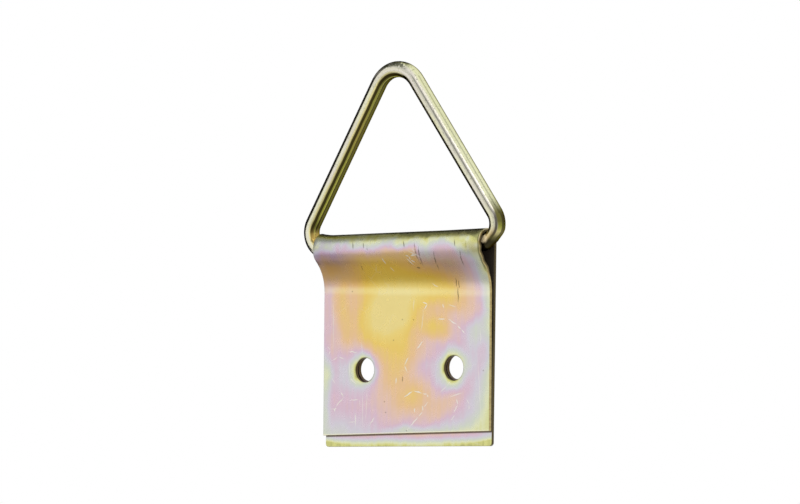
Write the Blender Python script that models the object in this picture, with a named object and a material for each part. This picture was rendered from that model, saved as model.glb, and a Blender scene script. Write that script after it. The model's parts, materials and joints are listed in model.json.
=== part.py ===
"""Picture hanger with a swinging triangular ring.

A strip of sheet metal is folded round the base of a bent wire ring. The fold is the hinge's barrel,
and both leaves below it share the screw holes. Metres, +Z up. The origin lies on the rear leaf's
back face, in the middle of the strip's width, level with the screw holes. +X runs along the hinge
and +Y points out of the back face, into whatever the hanger is screwed to.
"""
import math

import bmesh
import bpy
from mathutils import Vector

# Sheet strip
STRIP_WIDTH = 0.0400
SHEET = 0.0007
HINGE_RISE = 0.0226          # hinge axis above the screw holes
REAR_LEAF_DROP = 0.0143      # rear leaf's end below the screw holes
FRONT_LEAF_DROP = 0.0119     # front leaf's end below the screw holes, at mid width
FRONT_END_SKEW = 0.0006      # the front leaf's left corner hangs this much below its right one
REAR_CORNER_RADIUS = 0.0006

# Fold from the barrel down to the front leaf, radii at the middle of the sheet
LEFT_SHOULDER_RADIUS = 0.0024   # the fold was closed tighter at its left end
RIGHT_SHOULDER_RADIUS = 0.0052
NECK_SLOPE = 0.0007          # straight run between the shoulder and the neck
NECK_RADIUS = 0.0078
NECK_GAP = 0.00045           # between the leaves where the neck ends
END_GAP = 0.0001             # between the leaves at the front leaf's end

# Screw holes
HOLE_DIAMETER = 0.0045
HOLE_SPACING = 0.0214
HOLE_SIDE_SHIFT = 0.0009     # the pair sits this much to the right of the strip's middle
REAR_HOLE_RISE = 0.00025     # the fold leaves the rear holes this much above the front ones

# Wire ring
WIRE_DIAMETER = 0.0030
WIRE_PLAY = 0.0005           # radial clearance of the wire in the barrel
RING_HEIGHT = 0.0346         # top of the ring above the hinge axis
CORNER_INSIDE_RADIUS = 0.0020
APEX_INSIDE_RADIUS = 0.0040
WIRE_END_GAP = 0.0004        # between the wire's two ends, hidden inside the barrel
EXIT_PLAY_SHARE = 0.6        # play that the bend's inside takes up where it leaves the barrel
RING_LEAN = math.radians(4.4)  # the ring's apex leans forward of upright at rest

# Facets
BARREL_STEPS = 14
FOLD_STEPS = 8
BEND_STEPS = 10
HOLE_SIDES = 32
WIRE_BEVEL_RESOLUTION = 6
CORNER_STEPS = 4

# Finish
PLATE_COLOUR = (0.80, 0.68, 0.50, 1.0)
WIRE_COLOUR = (0.72, 0.66, 0.40, 1.0)
PLATING_ROUGHNESS = 0.28

# Sizes that follow from the ones above
WIRE_RADIUS = WIRE_DIAMETER / 2
BARREL_RADIUS = WIRE_RADIUS + WIRE_PLAY + SHEET / 2      # at the middle of the sheet
HINGE_OUT = BARREL_RADIUS + SHEET / 2                    # hinge axis in front of the back face
CORNER_RADIUS = CORNER_INSIDE_RADIUS + WIRE_RADIUS       # at the middle of the wire
APEX_RADIUS = APEX_INSIDE_RADIUS + WIRE_RADIUS
EXIT_LIFT = EXIT_PLAY_SHARE * WIRE_PLAY                  # of the bend's inside at the barrel's end
BEND_INSET = math.sqrt(CORNER_INSIDE_RADIUS ** 2 - (CORNER_INSIDE_RADIUS - EXIT_LIFT) ** 2)


def clear_scene():
    """Remove whatever the file already holds."""
    for item in list(bpy.data.objects):
        bpy.data.objects.remove(item, do_unlink=True)


def plating(name, colour):
    """Plated metal of one colour."""
    material = bpy.data.materials.new(name)
    material.use_nodes = True
    shader = material.node_tree.nodes["Principled BSDF"]
    shader.inputs["Base Color"].default_value = colour
    shader.inputs["Metallic"].default_value = 1.0
    shader.inputs["Roughness"].default_value = PLATING_ROUGHNESS
    return material


def arc(centre, radius, start, end, steps):
    """Points on an arc, both ends included; angles in radians, anticlockwise from the first axis."""
    points = []
    for step in range(steps + 1):
        angle = start + (end - start) * step / steps
        points.append(centre + radius * Vector((math.cos(angle), math.sin(angle))))
    return points


def front_leaf_middle(gap):
    """Depth of the middle of the front leaf's sheet where it stands this far off the rear leaf."""
    return -(SHEET + gap + SHEET / 2)


def strip_profile(shoulder_radius):
    """Middle line of the folded strip as (y, z) points, from the rear leaf's end to the front one's."""
    barrel = Vector((-HINGE_OUT, HINGE_RISE))
    points = [Vector((-SHEET / 2, -REAR_LEAF_DROP))]
    points += arc(barrel, BARREL_RADIUS, 0.0, math.pi, BARREL_STEPS)

    # The shoulder, a straight slope and the neck bring the sheet back from the barrel's front
    set_back = front_leaf_middle(NECK_GAP) - points[-1].x
    both_radii = shoulder_radius + NECK_RADIUS
    slope_share = math.atan2(NECK_SLOPE, both_radii)
    turn = math.acos((both_radii - set_back) / math.hypot(both_radii, NECK_SLOPE)) - slope_share
    shoulder = points[-1] + Vector((shoulder_radius, 0.0))
    points += arc(shoulder, shoulder_radius, math.pi, math.pi + turn, FOLD_STEPS)[1:]
    down_slope = Vector((math.sin(turn), -math.cos(turn)))
    outward = Vector((-math.cos(turn), -math.sin(turn)))
    slope_end = points[-1] + NECK_SLOPE * down_slope
    neck = slope_end + NECK_RADIUS * outward
    points += arc(neck, NECK_RADIUS, turn, 0.0, FOLD_STEPS)

    points.append(Vector((front_leaf_middle(END_GAP), -FRONT_LEAF_DROP)))
    return points


def strip_edge(bm, x, shoulder_radius, end_shift):
    """Points of one long edge of the strip; end_shift lengthens the front leaf there."""
    profile = strip_profile(shoulder_radius)
    profile[-1] = profile[-1] + end_shift * (profile[-1] - profile[-2]).normalized()
    return [bm.verts.new((x, y, z)) for y, z in profile]


def make_plate():
    """The folded strip: its middle surface spans the two long edges, then gets its thickness."""
    bm = bmesh.new()
    half = STRIP_WIDTH / 2
    left = strip_edge(bm, -half, LEFT_SHOULDER_RADIUS, FRONT_END_SKEW / 2)
    right = strip_edge(bm, half, RIGHT_SHOULDER_RADIUS, -FRONT_END_SKEW / 2)
    long_edges = [bm.edges.new(pair) for side in (left, right) for pair in zip(side, side[1:])]
    bmesh.ops.bridge_loops(bm, edges=long_edges)
    bmesh.ops.bevel(
        bm, geom=[left[0], right[0]], offset=REAR_CORNER_RADIUS, offset_type="OFFSET", affect="VERTICES",
        segments=CORNER_STEPS, profile=0.5, material=-1,
    )
    bmesh.ops.recalc_face_normals(bm, faces=bm.faces)

    mesh = bpy.data.meshes.new("folded_plate")
    bm.to_mesh(mesh)
    bm.free()
    mesh.shade_smooth()
    mesh.materials.append(plating("plate_plating", PLATE_COLOUR))
    plate = bpy.data.objects.new("folded_plate", mesh)
    bpy.context.collection.objects.link(plate)
    solid = plate.modifiers.new("sheet thickness", "SOLIDIFY")
    solid.thickness = SHEET
    solid.offset = 0.0
    solid.use_even_offset = True
    return plate


def punch(plate, name, x, z, y_front, y_back):
    """Cut one round hole through the leaf that lies between two depths."""
    bm = bmesh.new()
    bmesh.ops.create_cone(
        bm, cap_ends=True, segments=HOLE_SIDES, radius1=HOLE_DIAMETER / 2,
        radius2=HOLE_DIAMETER / 2, depth=y_back - y_front,
    )
    mesh = bpy.data.meshes.new(name)
    bm.to_mesh(mesh)
    bm.free()
    punch_tool = bpy.data.objects.new(name, mesh)
    bpy.context.collection.objects.link(punch_tool)
    punch_tool.location = (x, (y_front + y_back) / 2, z)
    punch_tool.rotation_euler.x = math.radians(90)
    punch_tool.hide_render = True
    punch_tool.display_type = "WIRE"
    cut = plate.modifiers.new(name, "BOOLEAN")
    cut.operation = "DIFFERENCE"
    cut.solver = "EXACT"
    cut.object = punch_tool


def punch_screw_holes(plate):
    """Two holes through each leaf; the punches stop in the narrow gap between the leaves."""
    (neck_y, neck_z), (end_y, end_z) = strip_profile(RIGHT_SHOULDER_RADIUS)[-2:]
    leaf_middle = neck_y + (end_y - neck_y) * neck_z / (neck_z - end_z)
    front_face_of_rear_leaf = -SHEET
    back_face_of_front_leaf = leaf_middle + SHEET / 2
    between = (front_face_of_rear_leaf + back_face_of_front_leaf) / 2
    for side, label in ((-1, "left"), (1, "right")):
        x = HOLE_SIDE_SHIFT + side * HOLE_SPACING / 2
        punch(plate, f"front_hole_{label}", x, 0.0, leaf_middle - 2 * SHEET, between)
        punch(plate, f"rear_hole_{label}", x, REAR_HOLE_RISE, between, SHEET)


def ring_path():
    """Middle line of the wire as (x, z) points about the hinge axis, from one cut end to the other."""
    corner = Vector((STRIP_WIDTH / 2 - BEND_INSET, CORNER_RADIUS))
    apex = Vector((0.0, RING_HEIGHT - WIRE_RADIUS - APEX_RADIUS))
    between = apex - corner
    # The leg touches both bends, so its outward normal follows from their centres and radii
    offset = math.acos((CORNER_RADIUS - APEX_RADIUS) / between.length)
    leg_normal = math.atan2(between.y, between.x) - offset
    right = [Vector((WIRE_END_GAP / 2, 0.0))]
    right += arc(corner, CORNER_RADIUS, -math.pi / 2, leg_normal, BEND_STEPS)
    right += arc(apex, APEX_RADIUS, leg_normal, math.pi / 2, BEND_STEPS)
    left = [Vector((-x, z)) for x, z in reversed(right[:-1])]
    return right + left


def make_ring():
    """One bent wire, its origin on the hinge axis."""
    curve = bpy.data.curves.new("triangle_ring", "CURVE")
    curve.dimensions = "3D"
    curve.bevel_depth = WIRE_RADIUS
    curve.bevel_resolution = WIRE_BEVEL_RESOLUTION
    curve.use_fill_caps = True
    path = ring_path()
    wire = curve.splines.new("POLY")
    wire.points.add(len(path) - 1)
    for point, (x, z) in zip(wire.points, path):
        point.co = (x, 0.0, z, 1.0)
    wire.use_smooth = True
    curve.materials.append(plating("wire_plating", WIRE_COLOUR))
    ring = bpy.data.objects.new("triangle_ring", curve)
    bpy.context.collection.objects.link(ring)
    ring.location = (0.0, -HINGE_OUT, HINGE_RISE)
    ring.rotation_euler.x = RING_LEAN
    return ring


def main():
    clear_scene()
    plate = make_plate()
    punch_screw_holes(plate)
    make_ring()


main()
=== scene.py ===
"""Picture hanger: a strip of yellow-plated sheet folded round the base of a bent wire ring.

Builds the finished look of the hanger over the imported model: the folded plate with its punched and
rolled screw holes, the swinging wire ring, their plating, and a small studio round them. Metres, in
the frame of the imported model: +X along the hinge, +Y into the wall, +Z up.
"""
import json
import math
from types import SimpleNamespace

import bmesh
import bpy
from bpy.props import FloatProperty, FloatVectorProperty, IntProperty, PointerProperty
from mathutils import Matrix, Vector


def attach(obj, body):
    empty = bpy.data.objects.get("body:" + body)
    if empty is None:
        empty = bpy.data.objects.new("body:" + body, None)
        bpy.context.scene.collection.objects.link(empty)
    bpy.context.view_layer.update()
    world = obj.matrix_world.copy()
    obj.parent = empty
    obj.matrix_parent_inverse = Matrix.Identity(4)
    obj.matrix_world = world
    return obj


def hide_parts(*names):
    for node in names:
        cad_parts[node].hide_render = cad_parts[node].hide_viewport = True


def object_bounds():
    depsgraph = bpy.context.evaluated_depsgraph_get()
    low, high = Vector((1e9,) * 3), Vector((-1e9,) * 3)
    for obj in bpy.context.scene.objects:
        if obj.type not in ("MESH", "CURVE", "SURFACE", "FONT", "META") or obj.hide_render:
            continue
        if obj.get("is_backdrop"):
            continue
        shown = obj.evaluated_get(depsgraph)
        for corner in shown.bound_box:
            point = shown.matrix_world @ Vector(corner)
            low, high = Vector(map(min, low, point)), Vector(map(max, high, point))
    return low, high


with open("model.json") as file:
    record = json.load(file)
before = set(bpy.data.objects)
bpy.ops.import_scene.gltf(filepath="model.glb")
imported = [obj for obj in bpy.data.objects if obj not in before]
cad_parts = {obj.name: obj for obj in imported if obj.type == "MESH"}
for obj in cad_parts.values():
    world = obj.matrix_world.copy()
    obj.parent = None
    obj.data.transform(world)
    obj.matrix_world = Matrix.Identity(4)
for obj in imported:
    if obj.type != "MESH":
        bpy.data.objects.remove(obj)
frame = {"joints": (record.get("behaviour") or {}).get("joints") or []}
cad_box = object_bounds()
hinge_place = frame["joints"][0]["pos_m"]

bl_info = {
    "name": "Picture Hanger",
    "version": (1, 0, 0),
    "blender": (4, 5, 0),
    "location": "View3D > Sidebar > Hanger",
    "description": "Folded plate, wire ring and studio of a hinged picture hanger",
    "category": "Object",
}

MILLIMETRES = 1000.0
ALONG_X = Vector((1.0, 0.0, 0.0))
ALONG_Y = Vector((0.0, 1.0, 0.0))
ALONG_Z = Vector((0.0, 0.0, 1.0))
WHITE = (1.0, 1.0, 1.0, 1.0)
BLACK = (0.0, 0.0, 0.0, 1.0)
SHARP_EDGE = math.radians(40)
HARD_EDGE = math.radians(55)     # a right angle of the sheet or the wire, before it is rolled over
ENDLESS = 1000.0                 # size of a paint spot in depth, so that it goes right through

# Facets of the smaller features
CORNER_STEPS = 6
PUNCH_STEPS = 5
EDGE_STEPS = 3
CARD_STEPS = 24

# Leaves and holes of the plate
FLAT = 0.999                     # a leaf's face looks along Y at least this much
FRONT_FACE = -0.0012             # the front leaf's front face lies beyond this depth
RIM_TOLERANCE = 2e-5
SQUARE_SHARE = 1.6               # of a hole's radius, half the square that makes way for it
COLLAR_SHARE = 1.25              # of a hole's radius, the round collar inside that square

# Cards as (name, brightness, distance in metres, azimuths, elevations), in degrees from the middle
CARDS = (
    ("white_card", 1.0, 0.80, (-72, 6), (-10, 8)),
    ("grey_card", 0.82, 0.70, (-75, 6), (-19, -10)),
    ("low_card", 0.57, 0.22, (-88, 4), (-52, -19)),
    ("left_flag", 0.02, 0.22, (-57, -116), (3, 27)),
    ("left_mid_flag", 0.02, 0.22, (-66, -116), (-17, 3)),
    ("left_high_card", 0.24, 0.22, (-57, -116), (27, 60)),
    ("left_low_flag", 0.02, 0.22, (-90, -116), (-50, -17)),
    ("back_flag", 0.02, 0.22, (-116, -150), (-6, 64)),
    ("top_grey_card", 0.42, 0.24, (-13, 6), (15, 31)),
    ("top_right_card", 0.6, 0.24, (76, 106), (34, 62)),
    ("right_floor_card", 0.72, 0.26, (4, 112), (-57, -1)),
    ("rear_floor_card", 0.80, 0.60, (114, 250), (-50, 2)),
)
CARD_MIDDLE = 0.02               # height of the cards' middle above the screw holes
UNDER_CARD = (0.52, 0.27, 0.26)  # brightness, depth below the screw holes and half its side

# Lamps as (name, azimuth, elevation, distance, aimed at this height, side, brightness, mirrored)
LAMPS = (
    ("hair_light", 25, 36, 0.6, 0.03, 0.11, 1.6, True),
    ("floor_light", -35, 55, 1.2, 0.0, 0.4, 10.0, False),
)
DIM_WORLD = 0.6                  # strength of the world where it only lights

# Burrs on the fold's right edge, in metres below the hinge axis
BURR_DROPS = (0.0008, 0.0028, 0.0047)

# The pressed part of the right corner, in degrees down from its widest point
PRESS_START = 12.0
PRESS_END = 88.0
PRESS_EASE = 30.0

# The plate's film, from thin to thick: shares of its thickness and names of its colours
FILM_SHADES = (
    (0.0, "cream"), (0.1, "straw"), (0.25, "gold"), (0.4, "peach"), (0.5, "pink"), (0.6, "lilac"),
    (0.7, "pale_blue"), (0.8, "mint"), (0.88, "lemon"), (0.95, "lime"), (1.0, "olive"),
)

# Patches of the film as x, z, width and height in mm on the front, turn in degrees, change of thickness
FILM_PATCHES = (
    (-3.6, 10.5, 13.0, 6.5, 23, -0.30),
    (-4.4, 12.9, 12.5, 19.2, 14, -0.52),
    (-2.4, -2.2, 6.9, 10.7, -16, -0.14),
    (-15.6, 12.6, 3.5, 19.5, 11, -0.21),
    (7.5, 7.7, 5.8, 3.8, -8, -0.29),
    (7.5, 14.9, 13.1, 6.3, -21, -0.39),
    (17.2, 6.7, 3.9, 5.8, -57, 0.20),
    (26.2, -1.0, 10.8, 38.4, -24, 0.49),
    (-13.7, -0.2, 10.0, 7.0, -9, 0.24),
    (-9.8, 0.2, 4.9, 4.3, 22, 0.45),
    (9.2, -2.9, 14.9, 4.6, 39, 0.27),
    (11.4, 0.4, 3.8, 6.0, 7, 0.34),
    (6.6, -5.0, 11.7, 5.9, 14, -0.44),
    (-19.9, -2.5, 2.8, 13.7, -3, 0.24),
    (4.5, -19.1, 7.4, 18.6, -56, 0.77),
    (-18.0, -18.6, 28.8, 14.9, -9, 0.35),
    (1.1, -11.6, 9.0, 1.7, -1, 0.21),
    (-4.2, 21.2, 39.3, 4.1, 5, -0.16),
    (-13.6, 23.3, 3.7, 3.1, -8, -0.11),
    (16.2, 25.9, 57.4, 4.2, 2, 0.59),
    (-15.5, 22.7, 41.9, 5.9, -6, 0.24),
    (16.4, 22.1, 4.8, 2.7, -13, 0.36),
    (23.5, 14.0, 7.1, 30.8, 6, 0.59),
    (4.8, 21.2, 5.9, 2.7, -4, -0.18),
    (-5.4, 22.5, 5.6, 3.4, -4, 0.18),
    (7.0, 21.7, 3.5, 3.6, 42, 0.31),
    (-16.9, 16.9, 2.9, 3.9, -56, 0.16),
    (9.7, -2.8, 9.6, 7.6, -2, 0.20),
    (-16.9, 1.6, 4.2, 8.9, 24, -0.12),
    (-17.0, 23.9, 9.0, 1.4, -4, -0.16),
    (1.6, 22.7, 4.5, 1.7, 3, 0.20),
    (12.0, 22.9, 4.5, 2.2, 3, 0.17),
)
FILM_BASE = 0.57

# Painted shade on the fold and a painted dark reflection along the barrel's top, as x, z, width, height,
# turn and weight
SHADE_SPOTS = (
    (-16.5, 20.4, 10.0, 3.8, 0, 1.0),
    (11.0, 18.6, 11.0, 2.6, 0, 0.5),
    (18.6, 21.6, 4.5, 2.0, 0, 0.9),
    (17.0, 24.9, 8.0, 1.6, 0, 1.2),
    (-18.8, 22.8, 4.0, 2.4, 0, 0.4),
)

# Painted highlight spots at the neck's right end, as x, z, width, height and weight
NECK_HIGHLIGHT_SPOTS = ((16.5, 15.0, 6.0, 2.6, 0.6), (18.7, 14.8, 2.6, 3.0, 0.9))

# Scratches on the front as rows of points in mm
STROKE_OVERLAP = 1.15
PALE_SCRATCHES = (
    ((-0.3, -5.3), (2.1, -4.0), (4.3, -4.6), (5.5, -4.8), (5.5, -5.3)),
    ((0.9, 2.3), (-0.1, 0.7), (0.6, -0.7)),
    ((2.8, 3.6), (4.4, 5.2)),
    ((4.1, 12.2), (5.3, 12.0), (4.6, 10.9)),
    ((7.7, 9.0), (9.6, 9.1)),
    ((10.1, 9.1), (12.5, 7.8), (13.4, 7.0), (14.2, 6.3)),
    ((8.9, 11.9), (9.2, 11.0)),
    ((-15.7, -4.0), (-15.0, -5.1), (-17.0, -6.9), (-17.2, -7.7)),
    ((-12.0, -7.9), (-12.0, -10.7)),
    ((4.3, -6.8), (4.3, -7.9), (3.4, -8.8), (1.2, -10.8), (0.5, -11.4)),
    ((-7.3, -8.7), (-8.5, -10.4)),
    ((-2.0, -1.5), (-2.2, -2.8)),
    ((12.4, -5.6), (12.6, -6.7), (11.7, -8.2)),
    ((-13.8, 3.5), (-11.6, 3.3)),
    ((-13.6, 1.8), (-13.5, -1.4), (-11.8, -2.7)),
    ((2.4, -7.2), (2.4, -8.1)),
    ((2.5, 20.8), (3.2, 20.6), (3.3, 19.9), (4.2, 19.5)),
    ((2.5, 20.3), (3.6, 19.0)),
    ((-3.4, 20.6), (-3.0, 19.4)),
    ((3.7, 20.7), (4.9, 20.7)),
)
FINE_SCRATCHES = (
    ((-13.7, -5.7), (-11.0, -5.5), (-10.8, -7.0)),
    ((8.3, -4.5), (10.2, -3.2), (10.9, -2.3)),
    ((14.7, -5.8), (15.4, -6.7), (15.2, -7.8)),
    ((12.1, -8.5), (11.0, -9.6)),
    ((-18.2, -7.3), (-16.5, -7.1)),
    ((-19.1, 4.8), (-18.3, 3.8), (-18.8, 2.9)),
    ((5.7, -6.1), (4.5, -7.2)),
    ((10.5, -5.4), (14.0, -4.5)),
    ((-18.1, 1.9), (-16.3, 2.6), (-14.8, 2.1)),
    ((-18.0, -1.3), (-17.0, -2.6)),
    ((-13.9, -9.8), (-12.0, -9.6)),
    ((-0.1, 22.7), (1.1, 22.9)),
    ((10.3, 11.7), (12.2, 11.1)),
    ((3.0, 21.7), (6.2, 20.3)),
    ((4.5, 22.0), (4.8, 21.1), (3.9, 20.7)),
    ((6.4, 15.8), (8.0, 14.9)),
)
FAINT_SCRATCHES = (
    ((-10.3, -3.5), (-10.2, -11.3)),
    ((17.2, 2.3), (18.2, -10.0)),
    ((4.4, 11.3), (3.9, 6.5)),
    ((-9.1, -2.9), (-9.5, -10.2)),
    ((-10.6, 5.5), (-10.4, 2.7)),
    ((2.0, 13.4), (2.0, 10.6)),
    ((17.9, 7.3), (17.9, 4.0)),
    ((-17.7, 14.0), (-17.6, 3.1)),
    ((-2.5, 19.0), (-1.8, 18.1)),
)
DARK_SCRATCHES = (
    ((12.5, 15.1), (12.7, 11.6)),
    ((-0.6, -1.2), (-0.6, -2.5)),
    ((-10.3, 24.1), (-9.9, 22.2)),
    ((-7.6, 23.6), (-7.4, 22.4)),
    ((-6.5, 23.2), (-6.5, 21.9)),
    ((2.2, 23.6), (2.6, 22.2)),
    ((4.9, 23.3), (5.3, 19.3)),
    ((5.9, 22.5), (5.7, 18.6)),
    ((9.4, 21.6), (8.9, 17.7)),
    ((15.6, 21.5), (15.2, 18.2)),
    ((14.3, 23.4), (14.6, 21.8)),
    ((17.0, 22.9), (17.2, 21.5)),
    ((-9.4, 19.6), (-9.5, 18.2)),
    ((12.4, 16.7), (12.2, 14.7)),
    ((12.9, 16.2), (12.9, 14.4)),
    ((2.9, 20.1), (2.9, 19.0)),
    ((3.8, 18.6), (4.8, 18.6)),
)
SPECKS = (
    (-2.8, 5.4), (2.0, 9.1), (-0.7, 9.2), (-4.6, -8.0), (0.5, -11.4), (18.6, -0.6), (-13.0, 14.8),
    (-4.9, -6.0), (5.3, 19.3),
)
SPECK_SIZE = (0.24, 0.20)


def length(name, description, default):
    """A size in metres that a user may change."""
    return FloatProperty(name=name, description=description, default=default, unit="LENGTH", precision=5)


def angle(name, description, degrees):
    """An angle that a user may change."""
    return FloatProperty(name=name, description=description, default=math.radians(degrees), subtype="ANGLE")


def steps(name, description, default):
    """A number of steps that a user may change."""
    return IntProperty(name=name, description=description, default=default, min=1)


def roughness(name, description, default):
    """A roughness that a user may change."""
    return FloatProperty(
        name=name, description=description, default=default, subtype="FACTOR", min=0.0, max=1.0,
    )


def colour(name, description, default):
    """A colour that a user may change, in linear light."""
    return FloatVectorProperty(
        name=name, description=description, default=default, subtype="COLOR", size=3, min=0.0, max=1.0,
    )


class HangerPlateSizes(bpy.types.PropertyGroup):
    """Sizes of the folded sheet strip."""

    width: length("Strip width", "Width of the strip along the hinge", 0.0400)
    sheet: length("Sheet", "Thickness of the sheet", 0.0007)
    hinge_rise: length("Hinge rise", "Hinge axis above the screw holes", hinge_place[2])
    barrel_radius: length("Barrel radius", "Outside radius of the fold round the wire", -hinge_place[1])
    rear_drop: length("Rear leaf drop", "Rear leaf's end below the screw holes", 0.0143)
    front_drop: length("Front leaf drop", "Front leaf's end below the screw holes", 0.0119)
    end_skew: length("End skew", "How much lower the front leaf's left corner hangs", 0.0006)
    rear_corner: length("Rear corner", "Corner radius of the rear leaf's end", 0.0006)
    left_shoulder: length("Left shoulder", "Shoulder radius at the fold's left end, mid sheet", 0.0024)
    right_shoulder: length("Right shoulder", "Shoulder radius at the fold's right end, mid sheet", 0.0052)
    neck_slope: length("Neck slope", "Straight run between the shoulder and the neck", 0.0007)
    neck_radius: length("Neck radius", "Radius of the neck, mid sheet", 0.0078)
    neck_gap: length("Neck gap", "Gap between the leaves where the neck ends", 0.00045)
    end_gap: length("End gap", "Gap between the leaves at the front leaf's end", 0.0001)
    hole_diameter: length("Hole diameter", "Diameter of the screw holes", 0.0045)
    hole_spacing: length("Hole spacing", "Distance between the screw holes", 0.0214)
    hole_shift: length("Hole shift", "Shift of the pair of holes to the right", 0.0009)
    rear_hole_rise: length("Rear hole rise", "Rear holes above the front ones", 0.00025)
    burr: length("Burr", "Burrs that the shears left on the fold's right edge", 0.00022)
    burr_reach: length("Burr reach", "Half the length of a burr", 0.0011)
    barrel_lift: length("Barrel lift", "How far the barrel's top stands open at its left end", 0.00028)
    lip: length("Lip", "Height of the lip at the barrel's left end", 0.00035)
    lip_reach: length("Lip reach", "Length of the lip along the barrel", 0.0035)
    punch_roll: length("Punch roll", "Rounding that the punch leaves on a hole's front rim", 0.00022)
    edge_roll: length("Edge roll", "Rounding of the sheared edges", 0.00008)
    barrel_steps: steps("Barrel steps", "Steps round the barrel", 40)
    fold_steps: steps("Fold steps", "Steps in the shoulder and in the neck", 20)
    width_cuts: steps("Width cuts", "Cuts across the strip's width", 39)
    hole_sides: steps("Hole sides", "Sides of a screw hole", 72)


class HangerRingSizes(bpy.types.PropertyGroup):
    """Sizes of the bent wire ring."""

    wire: length("Wire diameter", "Diameter of the wire", 0.0030)
    height: length("Ring height", "Top of the ring above the hinge axis", 0.0346)
    base_half: length("Base half", "From the ring's middle to where a corner bend starts", 0.01894643)
    corner_radius: length("Corner radius", "Radius of the corner bends, mid wire", 0.0035)
    apex_radius: length("Apex radius", "Radius of the apex bend, mid wire", 0.0055)
    end_gap: length("End gap", "Gap between the wire's cut ends inside the barrel", 0.0004)
    end_round: length("End round", "Rounding of the wire's cut ends", 0.00015)
    press: length("Press", "How far the right corner's outside is pressed in above the barrel", 0.00045)
    lean: angle("Lean", "Forward lean of the ring at rest", 4.4)
    wire_sides: steps("Wire sides", "Sides of the wire's section", 48)
    bend_steps: steps("Bend steps", "Steps in each bend", 40)


class HangerFinish(bpy.types.PropertyGroup):
    """Colours and gloss of the plating, with its painted shade and highlights."""

    cream: colour("Cream", "Film colour at its thinnest", (0.85, 0.70, 0.28))
    straw: colour("Straw", "Film colour after cream", (0.86, 0.675, 0.22))
    gold: colour("Gold", "Film colour after straw", (0.85, 0.615, 0.165))
    peach: colour("Peach", "Film colour after gold", (0.83, 0.56, 0.31))
    pink: colour("Pink", "Film colour after peach", (0.80, 0.57, 0.48))
    lilac: colour("Lilac", "Film colour after pink", (0.72, 0.53, 0.63))
    pale_blue: colour("Pale blue", "Film colour after lilac", (0.68, 0.64, 0.71))
    mint: colour("Mint", "Film colour after pale blue", (0.66, 0.70, 0.60))
    lemon: colour("Lemon", "Film colour after mint", (0.77, 0.79, 0.51))
    lime: colour("Lime", "Film colour after lemon", (0.70, 0.69, 0.26))
    olive: colour("Olive", "Film colour at its thickest", (0.40, 0.40, 0.16))
    fold_tint: colour("Fold tint", "Deepens the film where the sheet was folded", (0.95, 0.85, 0.45))
    # Fold shade: painted shade on the fold and a painted dark reflection along the barrel's top
    fold_shade: colour("Fold shade", "Darkens the film where the fold is tightest", (0.70, 0.66, 0.74))
    # Fold inside: a matt plating darkened by painted shade
    fold_inside_shade: colour("Fold inside", "Dull inside of the fold", (0.060, 0.046, 0.032))
    cut_edge: colour("Cut edge", "Sheared edges of the sheet", (0.60, 0.49, 0.22))
    torn_edge: colour("Torn edge", "Rougher streaks of the sheared edges", (0.48, 0.38, 0.17))
    # Rear edge: the rear leaf's sheared sides; also the painted dark reflection on the barrel's lip and the
    # painted shadow line next to the fold's right edge
    rear_edge_and_shade: colour("Rear edge", "Rear leaf's sheared sides, and the fold's tarnish", (0.11, 0.085, 0.04))
    # Neck shine: a painted highlight along the neck
    neck_highlight: colour("Neck shine", "Brightens the rubbed line along the neck", (0.35, 0.28, 0.12))
    # A painted highlight on the front leaf's end and the barrel's mouths
    edge_highlight: colour("Burnish", "Rubbed front leaf's end and barrel's mouths", (0.98, 0.92, 0.68))
    hole_wall: colour("Hole wall", "Walls of the punched holes", (0.10, 0.066, 0.026))
    pale_scratch: colour("Pale scratch", "Bright scratches", (0.93, 0.90, 0.82))
    # Dark scratch: also the painted shadow line under the front leaf's end
    dark_scratch_and_shadow: colour("Dark scratch", "Dark scratches, specks and shadow line", (0.10, 0.07, 0.035))
    plate_roughness: roughness("Plate roughness", "Roughness of the plate", 0.28)
    wire_cream: colour("Wire cream", "Wire's pale front", (0.80, 0.78, 0.58))
    wire_lilac: colour("Wire lilac", "Wire's pale outside", (0.76, 0.71, 0.66))
    wire_brass: colour("Wire brass", "Between the wire's front and its inside", (0.90, 0.80, 0.36))
    wire_olive: colour("Wire olive", "Wire's inside", (0.47, 0.45, 0.09))
    wire_amber: colour("Wire amber", "Warm tint inside the left leg and at the mouths", (0.60, 0.41, 0.11))
    wire_lime: colour("Wire lime", "Bright drawing line along the wire's inside", (0.66, 0.66, 0.20))
    wire_edge: colour("Wire edge", "Tint of what the wire mirrors at a grazing angle", (0.35, 0.33, 0.20))
    wire_lemon: colour("Wire lemon", "Right leg's outside", (0.80, 0.81, 0.52))
    wire_pewter: colour("Wire pewter", "Dull band along the right leg", (0.56, 0.55, 0.46))
    wire_moss: colour("Wire moss", "Outside of the right corner", (0.38, 0.39, 0.07))
    # Wire dark: painted shade and painted dark reflections on and under the right corner
    wire_corner_shade: colour("Wire dark", "Grime on and under the right corner", (0.035, 0.028, 0.016))
    # A painted highlight at the right corner's front
    wire_glint: colour("Wire bare", "Dull patch on the right corner", (0.95, 0.78, 0.48))
    # Wire brown: painted shade and painted dark reflections inside the bends, on the right corner and
    # towards the rear
    wire_brown_shade: colour("Wire brown", "Tarnish inside the bends and towards the rear", (0.12, 0.11, 0.032))
    # Also a painted dark reflection along the wire's inside
    wire_shading_and_line: colour("Wire groove", "Dark lines along the wire's inside", (0.045, 0.032, 0.008))
    # Wire grey: also a painted dark reflection along the rear outside
    wire_grey_and_shade: colour("Wire grey", "Scuffs on the apex, flecks and rear line", (0.15, 0.155, 0.115))
    wire_roughness: roughness("Wire roughness", "Roughness of the wire", 0.14)


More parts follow.
